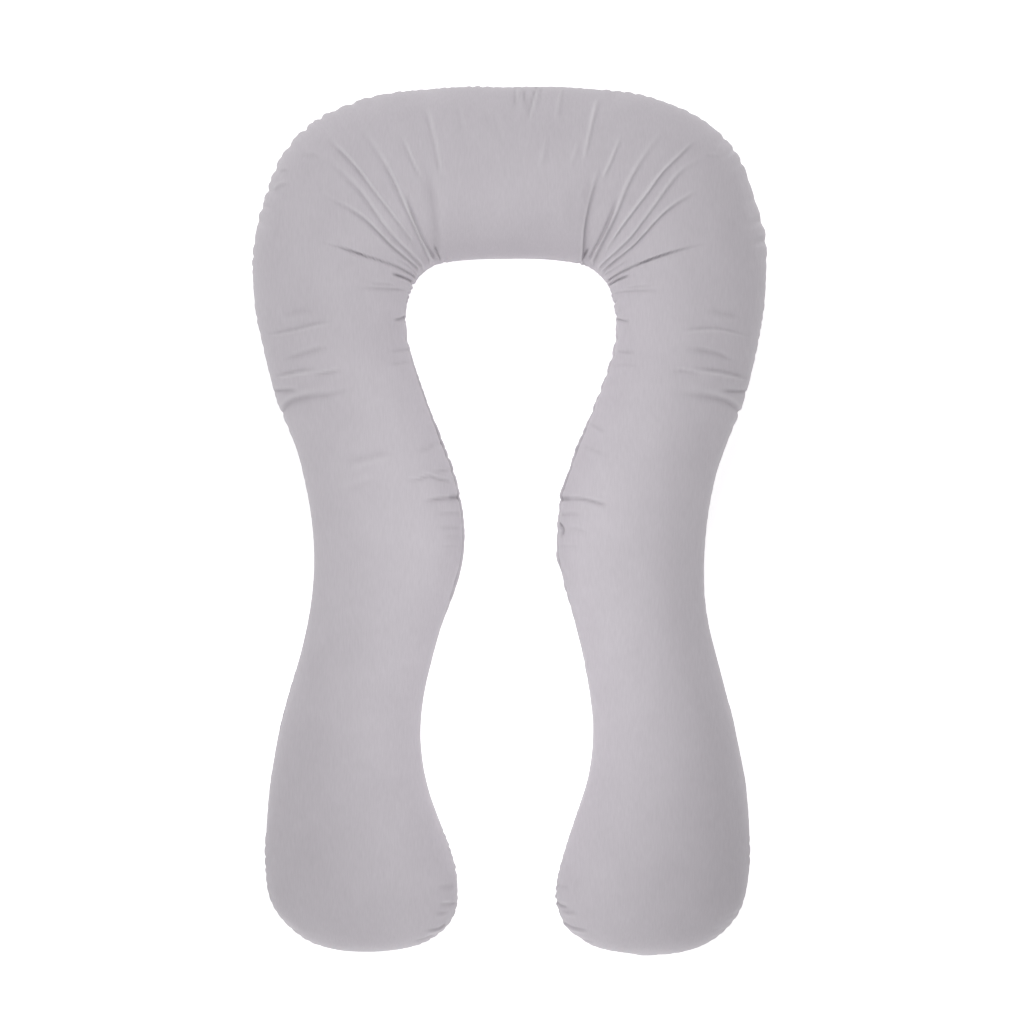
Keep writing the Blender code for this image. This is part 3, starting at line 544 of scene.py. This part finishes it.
def bulge_height(grid, parameters):
    """Lift of each point by the bulges of the stuffed edges, in mm."""
    outer_away, inner_away = seam_distance(grid)
    height = np.zeros(grid.shape[:2])
    for bulge in BULGES:
        away, ring = (outer_away, 0) if bulge.edge == "outer" else (inner_away, TOP_STEPS)
        along = (grid[:, ring, 1] / MM - bulge.y_mm) / bulge.half_mm
        near = bell(along) * (np.sign(parameters) == bulge.side)
        height += bulge.out_mm * near[:, None] * bell(away / bulge.reach_mm)
    return height


def seam_shape(grid, parameters):
    """The valley and the stitched groove along the seam, in mm, and the shade painted on and by them, 0
    to 1.
    """
    outer_away, inner_away = seam_distance(grid)
    place = np.abs(parameters)
    inner_length = edge_lengths(grid, TOP_STEPS)
    climb = stretch(place, *CLIMB)
    steadied = 1.0 - CLIMB_STEADIES * climb
    # A wander is half a unit each way, so it is doubled.
    outer_seam = SEAM_WANDER_MM * 2.0 * wander(edge_lengths(grid, 0), SEAM_RUN_MM, OUTER_SEED)
    inner_seam = SEAM_WANDER_MM * 2.0 * steadied * wander(inner_length, SEAM_RUN_MM, INNER_SEED)
    inner_seam += SEAM_CLIMB_MM * climb
    opening = GAPE_PART + GAPE_SPREAD * wander(inner_length, GAPE_RUN_MM, GAPE_SEED)
    gape = stretch(place, *GAPE) * np.clip(opening, 0.0, 1.0)
    outer = np.abs(outer_away - outer_seam[:, None])
    inner = np.abs(inner_away - inner_seam[:, None])
    away = np.minimum(outer, inner)
    stitching = STITCH_DRAW_MM * bell(away / STITCH_GROOVE_MM)
    gaping = gape[:, None] * bell(inner / GAPE_GROOVE_MM)
    shaded = SEAM_SHADE * smoothstep(SHADE_FROM, SHADE_FULL, place)
    head_shaded = HEAD_SHADE * smoothstep(HEAD_SHADE_GONE, HEAD_SHADE_FULL, place)
    # Painted shade: darker in the stitched groove, along the seam, by the head's inner seam and where
    # the groove gapes.
    dark = STITCH_SHADE * bell(away / STITCH_GROOVE_MM)
    dark = dark + shaded[:, None] * bell(away / SEAM_SHADE_MM)
    dark = dark + head_shaded[:, None] * bell(inner / HEAD_SHADE_MM) + gaping
    valley = SEAM_DRAW_MM * bell(away / SEAM_VALLEY_MM)
    return valley, stitching + GAPE_DRAW_MM * gaping, np.clip(dark, 0.0, 1.0)


def lump_height(grid):
    """Soft lumps of the filling, in mm."""
    flat = grid.reshape(-1, 3)
    broad = np.array([noise.noise(Vector(p) * BROAD_LUMPS) for p in flat])
    small = np.array([noise.noise(Vector(p) * SMALL_LUMPS + SMALL_SHIFT) for p in flat])
    return (BROAD_LUMP_MM * broad + SMALL_LUMP_MM * small).reshape(grid.shape[:2])


def add_object(name, data):
    """A new object in the scene."""
    added = bpy.data.objects.new(name, data)
    bpy.context.scene.collection.objects.link(added)
    return added


# --- the simulated cloth ---

SIM_SEED = 0.6              # part of the folds' depth that the simulation starts from
SIM_FRAMES = 10
SIM_QUALITY = 5
SIM_PRESSURE = 4.0
SIM_STIFFNESS = 15.0
SIM_SHEAR = 0.3 * SIM_STIFFNESS
SIM_BENDING = 0.5
SIM_CAP = 5.0 * MM          # the farthest that the simulation may move a point
SPARE_CLOTH = 0.025         # how much longer the loose cloth is than the body it covers
HELD_UNDER, FREE_OVER = 0.15, 0.75      # heights between which the cover comes free, in seam heights
TUCK_HOLD, TUCK_FULL_MM = 0.9, 3.0      # how firmly a groove holds the cover, and from what depth

# Where the cover is loose (rows where this starts, is full, ends and is gone), how loose it is there,
# and how far in from the edge.
RIM = (1.0, 2.5, 11.5, 13.5)            # the outer corner and shoulder
WAIST = (1.5, 2.5, 15.5, 18.0)          # the inner corner, leg and waist
FOOT_FROM, FOOT_FULL = 22.5, 24.5
LOOSE_RIM, LOOSE_OUTER_FOOT, LOOSE_OUTER_MM = 0.8, 0.6, 90.0
LOOSE_WAIST, LOOSE_INNER_FOOT, LOOSE_INNER_MM = 0.8, 0.9, 70.0


def loose_cloth(grid, parameters):
    """How loose the cover lies at each point, from 0 to 1."""
    outer_away, inner_away = seam_distance(grid)
    place = np.abs(parameters)
    foot = smoothstep(FOOT_FROM, FOOT_FULL, place)
    outer = LOOSE_RIM * stretch(place, *RIM) + LOOSE_OUTER_FOOT * foot
    inner = LOOSE_WAIST * stretch(place, *WAIST) + LOOSE_INNER_FOOT * foot
    loose = outer[:, None] * bell(outer_away / LOOSE_OUTER_MM)
    loose = loose + inner[:, None] * bell(inner_away / LOOSE_INNER_MM)
    return np.clip(loose, 0.0, 1.0)


def weight_group(piece, name, weights):
    """A vertex group with the weights rounded to tenths."""
    group = piece.vertex_groups.new(name=name)
    tenths = np.round(weights.reshape(-1) * 10.0).astype(int)
    for tenth in range(11):
        members = np.nonzero(tenths == tenth)[0]
        if len(members):
            group.add(members.tolist(), tenth / 10.0, "REPLACE")


def simulate(grid, tucked, looseness):
    """Let the cover swell and buckle under the filling's pressure; how far each point moves."""
    rings, count = grid.shape[:2]
    mesh = bpy.data.meshes.new("net")
    first_cap = list(range(count))
    last_cap = list(range((rings - 1) * count, rings * count))[::-1]
    mesh.from_pydata(grid.reshape(-1, 3).tolist(), [], ring_faces(rings, count) + [first_cap, last_cap])
    net = add_object("net", mesh)
    low = smoothstep(FREE_OVER * SEAM_HEIGHT, HELD_UNDER * SEAM_HEIGHT, grid[:, :, 2])
    held = np.maximum(low, tucked)
    held[:, [0, TOP_STEPS // 2]] = 1.0
    held[[0, -1]] = 1.0
    weight_group(net, "held", held)
    weight_group(net, "loose", looseness)
    cloth = net.modifiers.new("cloth", "CLOTH")
    settings = cloth.settings
    settings.quality = SIM_QUALITY
    settings.use_pressure = True
    settings.uniform_pressure_force = SIM_PRESSURE
    settings.effector_weights.gravity = 0.0
    settings.vertex_group_mass = "held"
    settings.vertex_group_shrink = "loose"
    settings.shrink_min = 0.0
    settings.shrink_max = -SPARE_CLOTH
    settings.tension_stiffness = SIM_STIFFNESS
    settings.compression_stiffness = SIM_STIFFNESS
    settings.shear_stiffness = SIM_SHEAR
    settings.bending_stiffness = SIM_BENDING
    cloth.collision_settings.use_collision = False
    cloth.point_cache.frame_start = 1
    cloth.point_cache.frame_end = SIM_FRAMES
    for number in range(1, SIM_FRAMES + 1):
        bpy.context.scene.frame_set(number)
    depsgraph = bpy.context.evaluated_depsgraph_get()
    settled = net.evaluated_get(depsgraph).data
    points = np.empty(len(settled.vertices) * 3)
    settled.vertices.foreach_get("co", points)
    bpy.data.objects.remove(net, do_unlink=True)
    bpy.context.scene.frame_set(1)
    return points.reshape(grid.shape) - grid


def cap_length(shift, longest):
    """Shorten each move smoothly, so that none is longer than the cap."""
    length = np.linalg.norm(shift, axis=2, keepdims=True)
    return shift * longest * np.tanh(length / longest) / np.maximum(length, TINY)


def between_points(values):
    """Values on twice as many points round the ring, the new ones by a cubic through four."""
    after = np.roll(values, -1, axis=1)
    before = np.roll(values, 1, axis=1)
    far = np.roll(values, -2, axis=1)
    doubled = np.repeat(values, 2, axis=1)
    doubled[:, 1::2] = (9.0 * (values + after) - before - far) / 16.0
    return doubled


def swell(grid, grooves, parameters):
    """The grid after the simulation of every second point of its rings."""
    tucked = TUCK_HOLD * np.clip(grooves / TUCK_FULL_MM, 0.0, 1.0)
    shift = simulate(grid[:, ::2], tucked[:, ::2], loose_cloth(grid, parameters)[:, ::2])
    return grid + between_points(cap_length(shift, SIM_CAP))


# --- putting the cover together ---

LIFT_FULL = 0.3             # height from which a lift is full, in seam heights
EASE_PASSES = 14
EASE_BELOW = 0.35           # a face that leans more than this cosine off the smooth body is eased
PAINTED_SHADE_FULL_MM = 9.0        # a groove this deep gets the darkest painted shade


def lifted(grid, height_mm):
    """The grid moved out along its normals, with its base left on the surface."""
    off_floor = smoothstep(0.0, LIFT_FULL * SEAM_HEIGHT, grid[:, :, 2])
    moved = grid + grid_normals(grid) * (height_mm * off_floor * MM)[:, :, None]
    moved[:, :, 2] = np.maximum(moved[:, :, 2], 0.0)
    return moved


def facing(grid):
    """Which way each four-cornered face of the grid faces."""
    across = grid[1:] - np.roll(grid, -1, axis=1)[:-1]
    along = np.roll(grid, -1, axis=1)[1:] - grid[:-1]
    normals = np.cross(across, along)
    return normals / np.maximum(np.linalg.norm(normals, axis=2, keepdims=True), TINY)


def eased(cover, before):
    """The cover with the corners of every face that a deep groove has tipped over evened out."""
    outward = facing(before)
    for _ in range(EASE_PASSES):
        tipped = np.sum(facing(cover) * outward, axis=2) < EASE_BELOW
        tipped |= np.roll(tipped, 1, axis=1)
        corners = np.zeros(cover.shape[:2], dtype=bool)
        corners[:-1] |= tipped
        corners[1:] |= tipped
        corners[[0, -1]] = False
        middle = 0.25 * (np.roll(cover, 1, axis=1) + np.roll(cover, -1, axis=1))
        middle[1:-1] += 0.25 * (cover[:-2] + cover[2:])
        cover = np.where(corners[:, :, None], middle, cover)
    return cover


def dress(grid, parameters):
    """The sewn, gathered and creased cover, with the shade and the highlight painted on each of its
    points.
    """
    grooves, rolls, painted_highlight = all_folds(grid)
    valley, stitching, seam_dark = seam_shape(grid, parameters)
    broad = rolls - SIM_SEED * grooves + lump_height(grid) + pucker_height(grid, parameters)
    broad = broad + bulge_height(grid, parameters) - valley
    cover = lifted(grid, broad)
    cover = swell(cover, grooves, parameters)
    cover = eased(lifted(cover, -(1.0 - SIM_SEED) * grooves - stitching), grid)
    cover[:, :, 0] += LEG_SHIFT * smoothstep(SHIFT_FROM, SHIFT_TO, grid[:, :, 1])
    # Painted shade: the cloth's colour is darkened in the grooves and along the seam, where shade
    # falls.
    painted_shade = np.clip(grooves / PAINTED_SHADE_FULL_MM + seam_dark, 0.0, 1.0)
    return cover, painted_shade, np.clip(painted_highlight, 0.0, 1.0)


# --- mesh ---

def ring_faces(rings, count):
    """Four-cornered faces between each ring and the next, facing out."""
    ring = np.arange(rings - 1)[:, None] * count
    here = np.arange(count)[None, :]
    after = (here + 1) % count
    corners = [ring + after, ring + count + after, ring + count + here, ring + here]
    return np.stack(corners, axis=-1).reshape(-1, 4).tolist()


def cover_mesh(grid, painted_shade, painted_highlight):
    """One closed mesh through the rings, closed by a fan of faces at each tip."""
    rings, count = grid.shape[:2]
    tip = SECTIONS[-1]
    tips = [(side * tip.outer_x * MM + LEG_SHIFT, tip.outer_y * MM, SEAM_HEIGHT)
            for side in (LEFT, RIGHT)]
    points = np.concatenate([grid.reshape(-1, 3), np.array(tips)])
    faces = ring_faces(rings, count)
    last_ring = (rings - 1) * count
    for index in range(count):
        after = (index + 1) % count
        faces.append((index, after, rings * count))
        faces.append((last_ring + after, last_ring + index, rings * count + 1))
    mesh = bpy.data.meshes.new("pillow_cover")
    mesh.from_pydata(points.tolist(), [], faces)
    work = bmesh.new()
    work.from_mesh(mesh)
    bmesh.ops.recalc_face_normals(work, faces=work.faces)
    work.to_mesh(mesh)
    work.free()
    # The shade and the highlight painted on the cloth go to the material with each point.
    for name, values in (("painted_shade", painted_shade), ("painted_highlight", painted_highlight)):
        layer = mesh.attributes.new(name, "FLOAT", "POINT")
        layer.data.foreach_set("value", np.concatenate([values.reshape(-1), [0.0, 0.0]]))
    mesh.shade_smooth()
    return mesh


# --- materials ---

# Scales of the knit's noises across, along and up, per metre.
WALES = (520.0, 60.0, 160.0)
CLOUD = (14.0, 14.0, 14.0)
GRAIN = (900.0, 900.0, 900.0)
WALES_PART, CLOUD_PART = 0.65, 0.35     # what the wales and the cloud give to the yarn's tone
DARK_YARN = (0.485, 0.455, 0.492, 1.0)
PALE_YARN = (0.625, 0.592, 0.632, 1.0)
# Colours of the painted highlight on the lit flanks and of the painted shade in the creases and the
# seam.
PAINTED_HIGHLIGHT_YARN = (0.70, 0.675, 0.705, 1.0)
PAINTED_SHADE_YARN = (0.20, 0.18, 0.205, 1.0)
PAINTED_HIGHLIGHT_PART, PAINTED_SHADE_PART = 0.6, 0.75   # how much of these the painted highlight on the lit flanks and the painted shade in the creases take
YARN_ROUGHNESS, YARN_SPECULAR = 0.92, 0.25
FUZZ, FUZZ_ROUGHNESS = 0.2, 0.5         # the sheen of the fibres that stand out of the knit
KNIT_STRENGTH, KNIT_DEPTH = 0.35, 0.0006    # the relief of the wales and the grain

WHITE = (1.0, 1.0, 1.0, 1.0)
FLOOR_WHITE = (0.93, 0.93, 0.93, 1.0)
FLOOR_GLOW = 0.6            # light that the white floor gives back


def jersey_material():
    """Fine jersey: wales and marl, a slight drift of colour, a painted highlight on the lit flanks of
    the rolls, painted shade in the creases and along the seam.
    """
    material = bpy.data.materials.new("jersey_cover")
    material.use_nodes = True
    nodes = material.node_tree.nodes
    links = material.node_tree.links
    shader = nodes["Principled BSDF"]
    shader.inputs["Roughness"].default_value = YARN_ROUGHNESS
    shader.inputs["Specular IOR Level"].default_value = YARN_SPECULAR
    shader.inputs["Sheen Weight"].default_value = FUZZ
    shader.inputs["Sheen Roughness"].default_value = FUZZ_ROUGHNESS
    place = nodes.new("ShaderNodeTexCoord")

    def stretched_noise(scale, detail):
        mapping = nodes.new("ShaderNodeMapping")
        mapping.inputs["Scale"].default_value = scale
        links.new(place.outputs["Object"], mapping.inputs["Vector"])
        texture = nodes.new("ShaderNodeTexNoise")
        texture.inputs["Scale"].default_value = 1.0
        texture.inputs["Detail"].default_value = detail
        links.new(mapping.outputs["Vector"], texture.inputs["Vector"])
        return texture.outputs["Fac"]

    def feed(socket, value):
        if isinstance(value, bpy.types.NodeSocket):
            links.new(value, socket)
        else:
            socket.default_value = value

    def calculate(operation, first, second):
        node = nodes.new("ShaderNodeMath")
        node.operation = operation
        feed(node.inputs[0], first)
        feed(node.inputs[1], second)
        return node.outputs[0]

    def mixed(factor, first, second):
        node = nodes.new("ShaderNodeMix")
        node.data_type = "RGBA"
        feed(node.inputs["Factor"], factor)
        feed(node.inputs["A"], first)
        feed(node.inputs["B"], second)
        return node.outputs["Result"]

    def surface_value(name):
        node = nodes.new("ShaderNodeAttribute")
        node.attribute_name = name
        return node.outputs["Fac"]

    wales = stretched_noise(WALES, detail=3.0)
    cloud = stretched_noise(CLOUD, detail=3.0)
    grain = stretched_noise(GRAIN, detail=1.0)
    wales_tone = calculate("MULTIPLY", wales, WALES_PART)
    cloud_tone = calculate("MULTIPLY", cloud, CLOUD_PART)
    yarn = mixed(calculate("ADD", wales_tone, cloud_tone), DARK_YARN, PALE_YARN)
    # Painted highlight on the lit flanks of the rolls, then painted shade in the creases and along the
    # seam.
    painted_highlight = calculate("MULTIPLY", surface_value("painted_highlight"), PAINTED_HIGHLIGHT_PART)
    shade = calculate("MULTIPLY", surface_value("painted_shade"), PAINTED_SHADE_PART)
    highlighted = mixed(painted_highlight, yarn, PAINTED_HIGHLIGHT_YARN)
    links.new(mixed(shade, highlighted, PAINTED_SHADE_YARN), shader.inputs["Base Color"])
    bump = nodes.new("ShaderNodeBump")
    bump.inputs["Strength"].default_value = KNIT_STRENGTH
    bump.inputs["Distance"].default_value = KNIT_DEPTH
    links.new(calculate("ADD", wales, grain), bump.inputs["Height"])
    links.new(bump.outputs["Normal"], shader.inputs["Normal"])
    return material


def floor_material():
    """Matt white that glows a little, as the white ground of the photo does."""
    material = bpy.data.materials.new("floor")
    material.use_nodes = True
    shader = material.node_tree.nodes["Principled BSDF"]
    shader.inputs["Base Color"].default_value = FLOOR_WHITE
    shader.inputs["Emission Color"].default_value = WHITE
    shader.inputs["Emission Strength"].default_value = FLOOR_GLOW
    shader.inputs["Roughness"].default_value = 1.0
    shader.inputs["Specular IOR Level"].default_value = 0.0
    material.cycles.emission_sampling = "NONE"
    return material


# --- scene ---

EYE_HEIGHT = 3.5            # camera above the cover's widest line
WIDEST = 0.105              # height of that line above the surface
PIXEL = 1.7532 * MM         # size of a picture point on that level
PICTURE = 1024              # picture points on each side of the square picture
ORIGIN_RIGHT, ORIGIN_DOWN = 510.2, 519.7    # the picture point over the frame's origin
EYE_X = (0.5 * PICTURE - ORIGIN_RIGHT) * PIXEL
EYE_Y = (ORIGIN_DOWN - 0.5 * PICTURE) * PIXEL
SENSOR = 36.0               # width of the camera's sensor, in mm

# Each softbox: its place, its size and its power in watts. They face the middle of the floor, and the
# strip hangs over the gap between the legs and faces straight down.
Softbox = namedtuple("Softbox", "name place width length power")
SOFTBOXES = [
    Softbox("head_box",      (-0.1,   1.6, 2.0), 1.0, 1.0, 25.5),
    Softbox("left_box",      (-2.0,   0.0, 1.6), 1.2, 1.2,  7.2),
    Softbox("low_foot_box",  (-0.1,  -2.4, 0.9), 1.2, 1.2, 16.5),
    Softbox("low_left_box",  (-2.2,   0.0, 0.7), 1.2, 1.2,  4.7),
    Softbox("low_right_box", ( 2.2,   0.0, 0.7), 1.2, 1.2,  7.2),
    Softbox("strip_box",     ( 0.0,  -0.2, 0.6), 0.2, 1.3,  1.3),
]
ROOM_LIGHT = 0.2            # light of the pale room on every side
BACKDROP = 0.78             # the room's walls as they look beyond the floor
FLOOR_SIZE = 200.0          # reaches to the horizon in the low views
FLOOR_LEVEL = -0.0002       # just under the surface that the pillow lies on


def build_cover():
    parameters = station_parameters()
    mesh = cover_mesh(*dress(body_grid(parameters), parameters))
    mesh.materials.append(jersey_material())
    return add_object("pillow_cover", mesh)


def build_floor():
    bpy.ops.mesh.primitive_plane_add(size=FLOOR_SIZE, location=(0.0, 0.0, FLOOR_LEVEL))
    floor = bpy.context.object
    floor.name = "floor"
    floor.data.materials.append(floor_material())


def area_light(box):
    """A softbox, itself not seen."""
    data = bpy.data.lights.new(box.name, "AREA")
    data.shape = "ELLIPSE"
    data.size = box.width
    data.size_y = box.length
    data.energy = box.power
    light = add_object(box.name, data)
    light.location = box.place
    if box.name != "strip_box":
        light.rotation_euler = (-Vector(box.place)).to_track_quat("-Z", "Y").to_euler()
    light.visible_camera = False


def build_light():
    """The softboxes in a pale room, which gives less light than it shows."""
    world = bpy.data.worlds.new("studio")
    world.use_nodes = True
    nodes = world.node_tree.nodes
    links = world.node_tree.links
    background = nodes["Background"]
    background.inputs["Color"].default_value = WHITE
    strength = nodes.new("ShaderNodeMapRange")
    strength.inputs["To Min"].default_value = ROOM_LIGHT
    strength.inputs["To Max"].default_value = BACKDROP
    seen = nodes.new("ShaderNodeLightPath")
    links.new(seen.outputs["Is Camera Ray"], strength.inputs["Value"])
    links.new(strength.outputs["Result"], background.inputs["Strength"])
    bpy.context.scene.world = world
    for box in SOFTBOXES:
        area_light(box)


def build_camera():
    """A camera straight above, which sees the photo's frame at the height of the widest line."""
    data = bpy.data.cameras.new("camera")
    data.sensor_width = SENSOR
    data.lens = data.sensor_width * EYE_HEIGHT / (PICTURE * PIXEL)
    data.clip_end = FLOOR_SIZE
    camera = add_object("camera", data)
    camera.location = (EYE_X, EYE_Y, EYE_HEIGHT + WIDEST)
    bpy.context.scene.camera = camera


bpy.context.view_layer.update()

cover = build_cover()
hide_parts("pillow")
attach(cover, "root")

build_floor()
build_light()
build_camera()
bpy.context.scene.view_settings.view_transform = "Standard"
